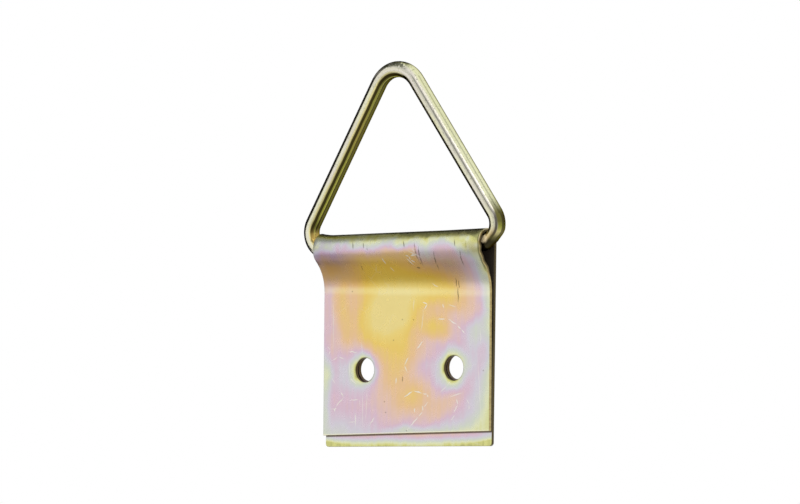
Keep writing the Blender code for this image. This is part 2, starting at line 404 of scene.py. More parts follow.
class HangerStage(bpy.types.PropertyGroup):
    """Camera, floor and light."""

    camera_place: FloatVectorProperty(
        name="Camera place", description="Where the camera stands", subtype="XYZ", unit="LENGTH",
        default=(0.419732, -0.503813, -0.030387),
    )
    camera_azimuth: angle("Azimuth", "Camera's turn round the object to the right", 40.0008)
    camera_elevation: angle("Elevation", "Camera's height over the horizon", -4.5547)
    camera_roll: angle("Roll", "Camera's tilt about its own axis", 0.9189)
    lens: FloatProperty(name="Lens", description="Focal length", default=158.94, unit="CAMERA")
    sensor: FloatProperty(name="Sensor", description="Width of the sensor", default=36.0, unit="CAMERA")
    floor_drop: length("Floor drop", "Floor below the screw holes", 0.045)
    floor_half: length("Floor half", "Half the floor's side", 3.0)
    fade_start: length("Fade start", "Distance where the floor starts to fade to white", 0.12)
    fade_end: length("Fade end", "Distance where the floor is white", 0.8)
    floor_colour: colour("Floor colour", "Colour of the floor", (0.86, 0.86, 0.85))


class HangerSettings(bpy.types.PropertyGroup):
    """All that a user may change."""

    plate: PointerProperty(type=HangerPlateSizes)
    ring: PointerProperty(type=HangerRingSizes)
    finish: PointerProperty(type=HangerFinish)
    stage: PointerProperty(type=HangerStage)


class Wired:
    """A node's output in a material; sums and products of these add Math nodes."""

    def __init__(self, tree, socket=None):
        self.tree = tree
        self.socket = socket

    def node(self, kind, settings=None, inputs=None, output=0):
        """Add any node: its settings first, then the values or links of its sockets."""
        node = self.tree.nodes.new(kind)
        for name, value in (settings or {}).items():
            if name == "stops":
                ramp = node.color_ramp.elements
                while len(ramp) < len(value):
                    ramp.new(1.0)
                for stop, (place, shade) in zip(ramp, value):
                    stop.position = place
                    stop.color = (*shade, 1.0)
            else:
                setattr(node, name, value)
        for name, value in (inputs or {}).items():
            if isinstance(value, Wired):
                self.tree.links.new(value.socket, node.inputs[name])
            else:
                node.inputs[name].default_value = value
        return Wired(self.tree, node.outputs[output])

    def math(self, operation, *others):
        """A Math node on this value and the others."""
        inputs = dict(enumerate((self, *others)))
        return self.node("ShaderNodeMath", {"operation": operation}, inputs)

    def vector(self, operation, *others):
        """A Vector Math node on this vector and the others."""
        inputs = dict(enumerate((self, *others)))
        return self.node("ShaderNodeVectorMath", {"operation": operation}, inputs)

    def reflected(self, operation, other):
        """A Math node with a plain number in front."""
        return self.node("ShaderNodeMath", {"operation": operation}, {0: other, 1: self})

    def __add__(self, other):
        return self.math("ADD", other)

    def __sub__(self, other):
        return self.math("SUBTRACT", other)

    def __mul__(self, other):
        return self.math("MULTIPLY", other)

    def __abs__(self):
        return self.math("ABSOLUTE")

    def __radd__(self, other):
        return self.reflected("ADD", other)

    def __rsub__(self, other):
        return self.reflected("SUBTRACT", other)

    def __rmul__(self, other):
        return self.reflected("MULTIPLY", other)


def new_material(name):
    """A new node material, with its tree and its Principled shader."""
    material = bpy.data.materials.new(name)
    material.use_nodes = True
    tree = material.node_tree
    return material, tree, tree.nodes["Principled BSDF"]


def feed(shader, values):
    """Link what varies over the surface to the shader's sockets."""
    for name, value in values.items():
        value.tree.links.new(value.socket, shader.inputs[name])


def millimetres(tree):
    """The place on the piece in mm, from its Object coordinates."""
    place = Wired(tree).node("ShaderNodeTexCoord", output="Object")
    return place.vector("MULTIPLY", (MILLIMETRES, MILLIMETRES, MILLIMETRES))


def parted(place):
    """The three coordinates of a place."""
    node = place.node("ShaderNodeSeparateXYZ", inputs={0: place}).socket.node
    return [Wired(place.tree, out) for out in node.outputs]


def carried(place, name):
    """A value that the mesh carries at its vertices."""
    return place.node("ShaderNodeAttribute", {"attribute_name": name}, output="Fac")


def ease(value, start, end):
    """0 before the start, 1 after the end, smooth between."""
    return value.node(
        "ShaderNodeMapRange", {"interpolation_type": "SMOOTHSTEP"},
        {"Value": value, "From Min": start, "From Max": end},
    )


def band(value, start, full, fade, end):
    """0 outside the start and the end, 1 from full to fade, smooth between."""
    return ease(value, start, full) * ease(value, end, fade)


def lay(shade, amount, paint, how="MIX"):
    """A colour with some of another one laid on it; each is a node's output or a colour setting."""
    under, over = (item if isinstance(item, Wired) else (*item, 1.0) for item in (shade, paint))
    settings = {"data_type": "RGBA", "blend_type": how}
    return amount.node("ShaderNodeMix", settings, {0: amount, 6: under, 7: over}, 2)


def raised(relief, strength, height):
    """A surface normal from a relief; the height is in metres."""
    inputs = {"Strength": strength, "Distance": height, "Height": relief}
    return relief.node("ShaderNodeBump", inputs=inputs)


def cloud(place, scale, detail=2.0, output="Fac"):
    """Soft noise; the scale is per mm."""
    inputs = {"Vector": place, "Scale": scale, "Detail": detail}
    return place.node("ShaderNodeTexNoise", inputs=inputs, output=output)


def wobbled(place, scale, detail, reach):
    """A place that soft noise moves about; the reach is in mm."""
    centred = cloud(place, scale, detail, "Color").vector("SUBTRACT", (0.5, 0.5, 0.5))
    return centred.vector("MULTIPLY_ADD", reach, place)


def oval(place, x, z, wide, high, turn=0.0):
    """A cone over an oval on the front: 1 in its middle, 0 from its rim on; turn is anticlockwise."""
    mapped = place.node(
        "ShaderNodeMapping", {"vector_type": "TEXTURE"},
        {
            "Vector": place, "Location": (x, 0.0, z), "Rotation": (0.0, -turn, 0.0),
            "Scale": (wide, ENDLESS, high),
        },
    )
    return place.node("ShaderNodeTexGradient", {"gradient_type": "SPHERICAL"}, {"Vector": mapped}, "Fac")


def mark(cone):
    """A small mark with a soft rim from the cone over it."""
    return ease(cone, 0.05, 0.6)


def spot(place, x, z, wide, high, turn=0.0):
    """A soft oval spot on the front."""
    return ease(oval(place, x, z, wide, high, turn), 0.0, 1.0)


def spots(place, rows, base=0.0):
    """Soft oval spots on the front, each times its weight, added to a base."""
    total = base
    for x, z, wide, high, turn, weight in rows:
        each = spot(place, x, z, wide, high, math.radians(turn))
        total = each.math("MULTIPLY_ADD", weight, total)
    return total


def strokes(place, rows, width):
    """Tapered strokes along rows of points on the front."""
    drawn = None
    for row in rows:
        for (x, z), (next_x, next_z) in zip(row, row[1:]):
            reach = math.hypot(next_x - x, next_z - z) / 2 * STROKE_OVERLAP
            turn = math.atan2(next_z - z, next_x - x)
            line = oval(place, (x + next_x) / 2, (z + next_z) / 2, reach, width, turn)
            drawn = line if drawn is None else drawn.math("MAXIMUM", line)
    return mark(drawn)


# Plating of the folded plate; places are in mm

def plate_places(tree, sizes):
    """What the plate's paints go by: the place on it, and its shares in the barrel and on the front."""
    place = millimetres(tree)
    x, y, z = parted(place)
    hinge = sizes.hinge_rise * MILLIMETRES
    barrel = ease(z, hinge - 1.5, hinge + 0.5)
    leaf_front = ease(y, -1.30, -1.42)
    front = leaf_front + barrel * (ease(y, -1.2, -4.0) - leaf_front)
    half = sizes.width / 2 * MILLIMETRES
    return SimpleNamespace(place=place, x=x, y=y, z=z, hinge=hinge, half=half, barrel=barrel, front=front)


def film_on_front(at):
    """The film's thickness over the front, from gold in the middle to mint at the edges."""
    return spots(wobbled(at.place, 0.3, 3.0, (2.2, 2.2, 1.6)), FILM_PATCHES, FILM_BASE)


def film_on_rear(at, sizes):
    """The film's thickness over the rear leaf: clouds on its back, bands on the strip that shows."""
    end = -sizes.rear_drop * MILLIMETRES
    aside = abs(at.x)
    strip = ease(at.y, -0.45, -0.60) * ease(at.z, end + 3.6, end + 3.0)
    film = 0.43 + 0.11 * strip + (1.1 - 0.88 * strip) * (cloud(at.place, 0.07, 3.0) - 0.5)
    film = film + 0.26 * ease(aside, at.half - 4.0, at.half + 0.5) * (1.0 - 0.7 * strip)
    film = film + (0.36 + 0.05 * strip) * ease(at.z, end + 1.5 + 0.8 * strip, end + 0.1)
    strip_ends = 0.12 * ease(aside, at.half - 9.0, at.half) + 0.03 * ease(at.x, at.half - 3.0, at.half)
    film = film + strip * (strip_ends - 0.02)
    film = film.math("MINIMUM", 0.85 + 0.11 * strip)
    for front, x, z in hole_places(sizes):
        if not front:
            film = film + 0.4 * spot(at.place, x * MILLIMETRES, z * MILLIMETRES, 5.0, 5.0)
    return film


def film_colour(at, sizes, finish):
    """The film's colour: front and rear joined over the barrel, with the streaks of rolled sheet."""
    back = film_on_rear(at, sizes)
    film = back + at.front * (film_on_front(at) - back)
    rolled = at.place.vector("MULTIPLY", (1.1, 0.0, 0.05))
    film = film + 0.025 * (cloud(at.place, 0.9) - 0.5) + 0.13 * (cloud(rolled, 1.0, 3.0) - 0.5)
    mottled = at.barrel * ease(at.z, at.hinge + 1.9, at.hinge + 1.0)
    film = film + 0.30 * mottled * (cloud(at.place, 0.55, 4.0) - 0.5)
    shades = [(share, getattr(finish, name)) for share, name in FILM_SHADES]
    return film.node("ShaderNodeValToRGB", {"stops": shades}, {"Fac": film}, "Color")


def shade_fold(shade, at, finish):
    """Deepen the folded film, with painted shade, a painted dark reflection on the lip and a painted shadow
    line by the right edge.
    """
    hinge = at.hinge
    folded = band(at.z, hinge - 8.6, hinge - 5.2, hinge - 3.6, hinge - 0.8) * ease(at.x, 18.0, 12.0)
    shade = lay(shade, folded * at.front, finish.fold_tint, "MULTIPLY")
    # Painted shade on the fold's shoulders and a painted dark reflection along the barrel's top
    painted_shade = spots(at.place, SHADE_SPOTS) * at.front
    shade = lay(shade, painted_shade.math("MINIMUM", 1.0), finish.fold_shade, "MULTIPLY")
    # Painted dark reflection on the barrel's lip at its left end, and a painted shadow line on the front
    # next to the fold's right edge
    lip = 0.75 * spot(at.place, 0.8 - at.half, hinge + 3.15, 9.0, 0.9) * ease(at.y, -2.7, -3.1)
    edge_shadow_line = band(at.z, hinge - 5.4, hinge - 4.2, hinge + 1.0, hinge + 2.0)
    edge_shadow_line = 0.6 * ease(at.x, at.half - 0.38, at.half - 0.16) * edge_shadow_line * at.front
    return lay(shade, lip.math("MAXIMUM", edge_shadow_line), finish.rear_edge_and_shade)


def paint_light_lines(shade, at, sizes, finish):
    """Painted highlights along the neck and the front leaf's end, and the painted shadow line that its end
    leaves.
    """
    # Painted highlight along the neck, where its curve meets the front leaf
    neck = ease(abs(at.z + 0.043 * at.x - (at.hinge - 8.2)), 1.1, 0.1)
    for *where, weight in NECK_HIGHLIGHT_SPOTS:
        neck = neck.math("MAXIMUM", weight * spot(at.place, *where))
    patchy = cloud(at.place, 0.5)
    shade = lay(shade, neck * at.front * (0.5 + 0.8 * patchy), finish.neck_highlight, "SCREEN")
    from_end = at.z - (sizes.end_skew / sizes.width) * at.x + sizes.front_drop * MILLIMETRES
    # Painted highlight on the front leaf's rolled end
    highlighted = 0.65 * ease(from_end, 0.32, 0.14) * at.front * (0.6 + 0.8 * patchy)
    shade = lay(shade, highlighted.math("MINIMUM", 1.0), finish.edge_highlight)
    # Painted shadow line on the rear leaf, under the front leaf's end
    end_shadow = ease(from_end, -0.38, -0.16) * ease(at.y, -0.45, -0.60) * (1.0 - at.front)
    return lay(shade, 0.85 * end_shadow, finish.dark_scratch_and_shadow)


def plate_wear(at):
    """The pale and the dark scratches as shares; hairlines run over both leaves."""
    cells = {"Vector": at.place, "Scale": 0.34}
    hair = at.place.node("ShaderNodeTexVoronoi", {"feature": "DISTANCE_TO_EDGE"}, cells, "Distance")
    hair = ease(hair, 0.026, 0.006) * ease(cloud(at.place, 0.21), 0.58, 0.66)
    drawn = wobbled(at.place, 1.4, 2.0, (0.4, 0.4, 0.4))
    pale = strokes(drawn, PALE_SCRATCHES, 0.15) + 0.45 * strokes(drawn, FAINT_SCRATCHES, 0.14)
    pale = (pale + 0.7 * strokes(drawn, FINE_SCRATCHES, 0.12)) * at.front
    pale = pale * (0.6 + 0.8 * cloud(at.place, 1.2)) + (0.3 - 0.16 * at.front) * hair
    dark = strokes(drawn, DARK_SCRATCHES, 0.17) * ease(cloud(at.place, 0.9), 0.25, 0.55)
    for x, z in SPECKS:
        dark = dark.math("MAXIMUM", 0.6 * mark(oval(at.place, x, z, *SPECK_SIZE)))
    return pale.math("MINIMUM", 1.0), dark * at.front


def plate_edges(shade, at, sizes, finish):
    """Paint the sheared edges, with a painted highlight at the barrel's mouths, the fold's inside, matt and
    in painted shade, and the hole walls; also gives their shares.
    """
    rolled = carried(at.place, "sheared")
    inner = carried(at.place, "inner")
    sheared = ease(rolled, 0.40, 0.95)
    torn = cloud(at.place.vector("MULTIPLY", (2.5, 0.5, 2.5)), 1.0, 4.0)
    edge = lay(finish.torn_edge, ease(torn, 0.35, 0.65), finish.cut_edge)
    # Painted highlight on the sheared edges at the barrel's mouths
    mouth = ease(at.z, at.hinge - 0.2, at.hinge + 0.9) * ease(at.y, -2.6, -3.4)
    edge = lay(edge, 0.8 * mouth, finish.edge_highlight)
    torn_off = 0.9 * ease(inner, 0.12, 0.55) * ease(at.z, at.hinge - 6.5, at.hinge - 4.0)
    edge = lay(edge, torn_off, finish.rear_edge_and_shade)
    rear = ease(at.y, -0.95, -0.75) * ease(abs(at.x), at.half - 0.7, at.half - 0.1)
    edge = lay(edge, rear, finish.rear_edge_and_shade)
    # The fold's inside: matt plating in painted shade
    dull_and_shaded = ease(inner, 0.5, 0.9) * ease(at.z, 2.0, 6.0)
    shade = lay(shade, dull_and_shaded, finish.fold_inside_shade)
    shade = lay(shade, sheared, edge)
    reach = sizes.hole_diameter / 2 * MILLIMETRES + 0.25
    in_hole = 0.0
    for _front, x, z in hole_places(sizes):
        near = oval(at.place, x * MILLIMETRES, z * MILLIMETRES, reach, reach).math("GREATER_THAN", 0.0)
        in_hole = near.math("MAXIMUM", in_hole)
    shade = lay(shade, ease(rolled, 0.10, 0.55) * in_hole, finish.hole_wall)
    return shade, sheared, torn, dull_and_shaded


def plate_metal(sizes, finish):
    """Yellow-plated sheet: an iridescent film, scratches, sheared edges and punched holes."""
    material, tree, shader = new_material("yellow_plated_sheet")
    at = plate_places(tree, sizes)
    shade = film_colour(at, sizes, finish)
    shade = shade_fold(shade, at, finish)
    shade = paint_light_lines(shade, at, sizes, finish)
    pale, dark = plate_wear(at)
    shade = lay(shade, 0.72 * dark, finish.dark_scratch_and_shadow)
    shade = lay(shade, 0.9 * pale, finish.pale_scratch)
    shade, sheared, torn, dull_and_shaded = plate_edges(shade, at, sizes, finish)
    rough = finish.plate_roughness + 0.10 * (cloud(at.place, 0.5, 4.0) - 0.5)
    rough = rough + 0.12 * pale + 0.2 * sheared + 0.3 * dull_and_shaded
    relief = 0.3 * cloud(at.place, 1.1, 3.0) - dark + 0.6 * pale + 0.8 * sheared * torn
    metal = 1.0 - 0.9 * dull_and_shaded * (1.0 - sheared)
    normal = raised(relief, 0.2, 0.00003)
    feed(shader, {"Base Color": shade, "Roughness": rough, "Metallic": metal, "Normal": normal})
    return material


# Plating of the wire ring; places are in mm

def wire_places(tree):
    """What the wire's paints go by: the place on it, where its section faces, and which half it is in."""
    place = millimetres(tree)
    x, _y, z = parted(place)
    outward = carried(place, "outward")
    forward = carried(place, "forward")
    along = 0.05 * (x + 1.7 * z)
    section = place.node("ShaderNodeCombineXYZ", inputs={0: 5.0 * outward, 1: 5.0 * forward, 2: along})
    streaks = cloud(section, 1.0, 4.0)
    mottle = cloud(place, 0.35, 4.0)
    side = outward + 0.25 * (mottle - 0.5) + 0.15 * (streaks - 0.5)
    left = ease(x, 1.5, -1.5)
    corner = ease(z, 29.5, 27.0) * ease(x, 17.0, 19.5)
    return SimpleNamespace(
        place=place, x=x, z=z, outward=outward, forward=forward, streaks=streaks, mottle=mottle, side=side,
        left=left, right=1.0 - left, corner=corner,
    )


def wire_tones(at, finish, top):
    """The wire's colours round its section: pale in front and outside, olive inside."""
    drift = 0.65 * ease(cloud(at.place, 0.17), 0.42, 0.58)
    shade = lay(finish.wire_cream, ease(at.side, 0.0, 0.6).math("MAXIMUM", drift), finish.wire_lilac)
    pale = spot(at.place, 4.0, top - 4.0, 6.0, 6.5) * ease(at.side, -0.5, -0.2)
    shade = lay(shade, pale, finish.wire_lilac)
    shade = lay(shade, 0.75 * band(at.side, 0.0, 0.18, 0.36, 0.46) * at.right, finish.wire_pewter)
    shade = lay(shade, ease(at.side, 0.45, 0.85) * at.right, finish.wire_lemon)
    shade = lay(shade, ease(at.side, -0.15, -0.45) * (0.35 + 0.65 * at.left), finish.wire_brass)
    return lay(shade, ease(at.side, -0.45, -0.68) * (0.45 + 0.55 * at.left), finish.wire_olive)


def shade_and_scuff_wire(shade, at, finish, top):
    """Warm tint and painted shade inside the bends, scuffs on the apex and flecks all over; also gives the
    scuffs' share.
    """
    amber = spot(at.place, -9.5, 45.0, 5.0, 8.0).math("MAXIMUM", spot(at.place, -19.6, 25.0, 3.0, 3.0))
    shade = lay(shade, 0.6 * amber * ease(at.side, -0.60, -0.80), finish.wire_amber)
    # Painted shade inside the apex bend and the left corner
    bends = spot(at.place, -0.8, top - 2.6, 7.0, 5.5).math("MAXIMUM", spot(at.place, -20.6, 26.4, 4.0, 4.0))
    shade = lay(shade, 0.9 * bends * ease(at.side, -0.38, -0.58), finish.wire_brown_shade)
    scuffed = ease(oval(at.place, -0.2, top, 5.0, 4.0), 0.0, 0.5) * ease(at.side, 0.16, 0.44)
    scuffed = scuffed * ease(cloud(at.place, 1.5, 6.0), 0.34, 0.52)
    flecks = ease(cloud(at.place, 3.0, 3.0), 0.56, 0.70) * (0.35 + 0.2 * at.right)
    shade = lay(shade, flecks, finish.wire_grey_and_shade)
    shade = lay(shade, scuffed, finish.wire_grey_and_shade)
    return lay(shade, 0.3 * ease(at.streaks, 0.45, 0.75), finish.wire_olive), scuffed


def draw_lines(shade, at, finish):
    """Lines along the inside: a painted dark reflection with a bright and a dark drawing line, and painted
    dark reflections towards the rear.
    """
    line = at.outward + 0.10 * (at.mottle - 0.5)
    # Painted dark reflection along the inside of the wire
    shading = (0.96 - 0.7 * at.corner * ease(at.z, 26.2, 24.8)) * ease(at.forward, 0.0, 0.3)
    shade = lay(shade, shading * band(line, -0.83, -0.74, -0.55, -0.44), finish.wire_shading_and_line)
    # Painted dark reflection on the inside towards the rear
    inner_rear_shade = 0.95 * ease(at.outward, -0.55, -0.80) * ease(at.forward, 0.34, 0.14)
    shade = lay(shade, inner_rear_shade, finish.wire_brown_shade)
    turned = at.forward + 0.08 * (at.mottle - 0.5)
    inside = 0.8 * ease(at.outward, -0.60, -0.80)
    shade = lay(shade, inside * band(turned, 0.34, 0.40, 0.46, 0.52), finish.wire_lime)
    shade = lay(shade, inside * band(turned, 0.22, 0.26, 0.34, 0.38), finish.wire_shading_and_line)
    # Painted dark reflection on the outside towards the rear
    outer_rear_shade = 0.6 * ease(at.outward, 0.60, 0.80) * ease(at.forward, 0.02, -0.20)
    return lay(shade, outer_rear_shade, finish.wire_grey_and_shade)


def wire_corners(shade, at, finish):
    """The left corner's warm inside, and the right corner with painted shade, dark reflections and a
    highlight; also its shares.
    """
    warm = spot(at.place, -20.8, 25.0, 2.0, 2.2) * ease(at.side, -0.30, -0.60)
    shade = lay(shade, 0.8 * warm, finish.wire_amber)

    # Mossy outside, with a painted dark reflection in a stripe and along the outer rim, and painted shade
    # down the outside and underneath
    moss = lay(finish.wire_moss, ease(at.z, 25.5, 23.8), finish.wire_brass)
    shade = lay(shade, 0.7 * at.corner * ease(at.z, 26.0, 23.4), finish.wire_amber)
    shade = lay(shade, at.corner * ease(at.side, 0.58, 0.72), moss)
    # Painted shade down the outside of the right corner
    dusk = 0.9 * band(at.z, 25.2, 26.4, 27.5, 32.0) * ease(at.x, 17.0, 19.5) * ease(at.side, 0.50, 0.66)
    shade = lay(shade, dusk, finish.wire_brown_shade)
    stripe = 0.85 * band(at.side, 0.30, 0.45, 0.56, 0.68)
    corner_dark_reflection = at.corner * stripe.math("MAXIMUM", 0.8 * ease(at.side, 0.90, 0.98))
    shade = lay(shade, corner_dark_reflection, finish.wire_corner_shade)
    # Painted shade on the corner's underside
    under = 0.85 * at.corner * ease(at.z, 24.3, 23.3) * ease(at.side, 0.20, 0.45)
    shade = lay(shade, under, finish.wire_brown_shade)
    # Painted shade on the wire inside the barrel's mouth
    shade = lay(shade, 0.85 * at.corner * ease(at.z, 23.5, 22.6), finish.wire_corner_shade)

    # Painted highlight in front, at the barrel's mouth: a pale, less metallic patch
    painted_glint = ease(oval(at.place, 20.1, 23.3, 1.2, 1.05), 0.0, 0.5) * ease(at.forward, 0.3, 0.6)
    return lay(shade, painted_glint, finish.wire_glint), corner_dark_reflection, painted_glint


def wire_metal(finish, top):
    """Yellow-plated drawn wire, scuffed, with painted shade, dark reflections and a highlight; top is the
    ring's top in mm.
    """
    material, tree, shader = new_material("yellow_plated_wire")
    at = wire_places(tree)
    shade = wire_tones(at, finish, top)
    shade, scuffed = shade_and_scuff_wire(shade, at, finish, top)
    shade = draw_lines(shade, at, finish)
    shade, corner_dark_reflection, painted_glint = wire_corners(shade, at, finish)
    rough = finish.wire_roughness + 0.10 * (at.mottle - 0.4) + 0.16 * scuffed + 0.10 * corner_dark_reflection
    relief = 0.5 * at.streaks + 0.3 * cloud(at.place, 2.0, 5.0) + 0.6 * scuffed
    metal = 1.0 - 0.85 * painted_glint
    shader.inputs["Specular Tint"].default_value = (*finish.wire_edge, 1.0)
    normal = raised(relief, 0.25, 0.00004)
    feed(shader, {"Base Color": shade, "Roughness": rough, "Metallic": metal, "Normal": normal})
    return material


def finished_object(name, bm, material):
    """A new object at the origin from a bmesh that is no longer needed."""
    mesh = bpy.data.meshes.new(name)
    bm.to_mesh(mesh)
    bm.free()
    mesh.shade_smooth()
    mesh.set_sharp_from_angle(angle=SHARP_EDGE)
    mesh.materials.append(material)
    piece = bpy.data.objects.new(name, mesh)
    bpy.context.scene.collection.objects.link(piece)
    even = piece.modifiers.new("flat faces stay flat", "WEIGHTED_NORMAL")
    even.mode = "FACE_AREA"
    even.keep_sharp = True
    return piece


def verts_of(items):
    """The vertices among what an operator made."""
    return [item for item in items if isinstance(item, bmesh.types.BMVert)]


def edges_of(items):
    """The edges among what an operator made."""
    return [item for item in items if isinstance(item, bmesh.types.BMEdge)]


def once(items):
    """The items in their order, each once."""
    return list(dict.fromkeys(items))


# Folded plate

def run_on(bm, tip, offset):
    """Draw a folded edge on in a straight line from the vertex at its tip."""
    made = bmesh.ops.extrude_vert_indiv(bm, verts=[tip])["verts"]
    bmesh.ops.translate(bm, verts=made, vec=offset)
    return made[0]


def bend_on(bm, tip, centre, turn, count):
    """Draw a folded edge on round an axis along X."""
    made = bmesh.ops.spin(bm, geom=[tip], cent=centre, axis=ALONG_X, angle=turn, steps=count)
    return made["geom_last"][0]


def front_leaf_face(sizes, gap):
    """Depth of the front leaf's front face where it stands this far off the rear leaf."""
    return -(sizes.sheet + gap + sizes.sheet)


def fold_edge(bm, sizes, x, shoulder_radius, end_shift):
    """One long edge of the strip's outer face, from the rear leaf's end to the front one's."""
    half_sheet = sizes.sheet / 2
    shoulder_radius += half_sheet
    neck_radius = sizes.neck_radius - half_sheet
    tip = bm.verts.new((x, 0.0, -sizes.rear_drop))
    tip = run_on(bm, tip, (0.0, 0.0, sizes.rear_drop + sizes.hinge_rise))
    barrel = Vector((x, -sizes.barrel_radius, sizes.hinge_rise))
    tip = bend_on(bm, tip, barrel, math.pi, sizes.barrel_steps)

    set_back = front_leaf_face(sizes, sizes.neck_gap) + 2 * sizes.barrel_radius
    both_radii = shoulder_radius + neck_radius
    slope_share = math.atan2(sizes.neck_slope, both_radii)
    turn = math.acos((both_radii - set_back) / math.hypot(both_radii, sizes.neck_slope)) - slope_share
    shoulder = tip.co + Vector((0.0, shoulder_radius, 0.0))
    tip = bend_on(bm, tip, shoulder, turn, sizes.fold_steps)
    tip = run_on(bm, tip, sizes.neck_slope * Vector((0.0, math.sin(turn), -math.cos(turn))))
    neck = tip.co + neck_radius * Vector((0.0, -math.cos(turn), -math.sin(turn)))
    tip = bend_on(bm, tip, neck, -turn, sizes.fold_steps)

    end = Vector((x, front_leaf_face(sizes, sizes.end_gap), -sizes.front_drop))
    leaf = end - tip.co
    run_on(bm, tip, leaf + end_shift * leaf.normalized())


def leaf_faces(bm, front):
    """Faces of the flat front or rear leaf, told apart by how they face and where they lie."""
    side = -1.0 if front else 1.0
    return [
        face for face in bm.faces
        if face.normal.y * side > FLAT and (face.calc_center_median().y < FRONT_FACE) == front
    ]


def draw_in(bm, edges, centre, radius):
    """Extrude a closed row of edges in its own plane on to a circle."""
    made = bmesh.ops.extrude_edge_only(bm, edges=edges)["geom"]
    for v in verts_of(made):
        v.co = centre + radius * (v.co - centre).normalized()
    return edges_of(made)


def punch_hole(bm, sizes, front, x, z):
    """Open one screw hole in a leaf: a square of the leaf makes way for a collar and a round rim."""
    radius = sizes.hole_diameter / 2
    square = radius * SQUARE_SHARE
    for axis, middle in ((ALONG_X, x), (ALONG_Z, z)):
        for side in (-square, square):
            faces = leaf_faces(bm, front)
            near = once(item for face in faces for item in (*face.verts, *face.edges))
            bmesh.ops.bisect_plane(
                bm, geom=[*faces, *near], dist=1e-7, plane_co=axis * (middle + side), plane_no=axis,
            )
            bm.normal_update()

    def inside(point):
        return max(abs(point.x - x), abs(point.z - z)) < radius

    gone = [face for face in leaf_faces(bm, front) if inside(face.calc_center_median())]
    sides = gone[0].edges[:]
    centre = gone[0].calc_center_median()
    bmesh.ops.delete(bm, geom=gone, context="FACES_ONLY")
    cuts = sizes.hole_sides // len(sides) - 1
    split = bmesh.ops.bisect_edges(bm, edges=sides, cuts=cuts)["geom_split"]
    collar = draw_in(bm, once(edges_of(split)), centre, radius * COLLAR_SHARE)
    draw_in(bm, collar, centre, radius)


def hole_places(sizes):
    """Screw holes as (front leaf or not, x, z)."""
    for side in (-1, 1):
        x = sizes.hole_shift + side * sizes.hole_spacing / 2
        yield True, x, 0.0
        yield False, x, sizes.rear_hole_rise


def hard_edges(bm):
    """Edges where two faces meet at about a right angle."""
    return [edge for edge in bm.edges if edge.is_manifold and edge.calc_face_angle() > HARD_EDGE]


def round_edges(bm, edges, offset, segments):
    """Roll edges over by a bevel."""
    bmesh.ops.bevel(
        bm, geom=edges, offset=offset, offset_type="OFFSET", affect="EDGES", segments=segments, profile=0.5,
        material=-1, clamp_overlap=True,
    )


def on_front_rim(edge, sizes):
    """Whether an edge lies on the front rim of a hole in the front leaf."""
    radius = sizes.hole_diameter / 2
    for front, x, z in hole_places(sizes):
        if front and all(
            abs(math.hypot(v.co.x - x, v.co.z - z) - radius) < RIM_TOLERANCE and v.co.y < FRONT_FACE
            for v in edge.verts
        ):
            return True
    return False


def face_outwards(bm):
    """Turn the strip's faces so that the barrel's top looks up."""
    bmesh.ops.recalc_face_normals(bm, faces=bm.faces[:])
    top = max(bm.faces, key=lambda face: face.calc_center_median().z)
    if top.normal.z < 0:
        bmesh.ops.reverse_faces(bm, faces=bm.faces[:])
    bm.normal_update()


def thicken(bm, sheet):
    """Give the outer face its thickness: a copy of it, sunk square to the hinge, becomes the inner face.

    Each vertex also gets a value, 0 on the outer face and 1 on the inner one.
    """
    layer = bm.verts.layers.float.new("inner")
    sunk = {}
    for v in bm.verts:
        sunk[v.co.to_tuple()] = sheet * Vector((0.0, v.normal.y, v.normal.z)).normalized()
    made = bmesh.ops.extrude_face_region(bm, geom=bm.faces[:], use_keep_orig=True)["geom"]
    for v in verts_of(made):
        v.co -= sunk[v.co.to_tuple()]
        v[layer] = 1.0
    bmesh.ops.recalc_face_normals(bm, faces=bm.faces[:])
    bm.normal_update()


def smooth_share(share):
    """A share kept between 0 and 1, with soft ends."""
    share = min(1.0, max(0.0, share))
    return share * share * (3.0 - 2.0 * share)


def raise_burrs(bm, sizes):
    """Pull the front of the fold's right edge out a little here and there, as blunt shears do."""
    fold_front = -3 * sizes.sheet
    for v in bm.verts:
        if v.co.x > sizes.width / 2 - 1e-6 and v.co.y < fold_front:
            off = min(abs(sizes.hinge_rise - drop - v.co.z) for drop in BURR_DROPS)
            v.co.x += sizes.burr * smooth_share(1.0 - off / sizes.burr_reach)


def open_barrel(bm, sizes):
    """Lift the barrel's top towards its left end, where it stands open a little and ends in a lip."""
    half = sizes.width / 2
    for v in bm.verts:
        height = (v.co.z - sizes.hinge_rise) / sizes.barrel_radius
        if height > 0.0:
            lift = sizes.barrel_lift * max(0.0, (half / 2 - v.co.x) / (half / 2 + half))
            lip = sizes.lip * max(0.0, 1.0 - (v.co.x + half) / sizes.lip_reach) ** 2
            v.co.z += (lift + lip) * min(1.0, height)


def mark_sheared(bm, sizes):
    """Give each vertex a value from 0 on the sheet's faces to 1 on its sheared edges and hole walls."""
    bm.normal_update()
    layer = bm.verts.layers.float.new("sheared")
    rim = sizes.hole_diameter / 2 + sizes.punch_roll + 2 * RIM_TOLERANCE
    holes = [(x, z) for _front, x, z in hole_places(sizes)]
    for v in bm.verts:
        value = abs(v.normal.x)
        if v.co.z < -sizes.front_drop + sizes.end_skew:
            value = max(value, -v.normal.z)
        if any(math.hypot(v.co.x - x, v.co.z - z) < rim for x, z in holes):
            value = 1.0 - abs(v.normal.y)
        v[layer] = value


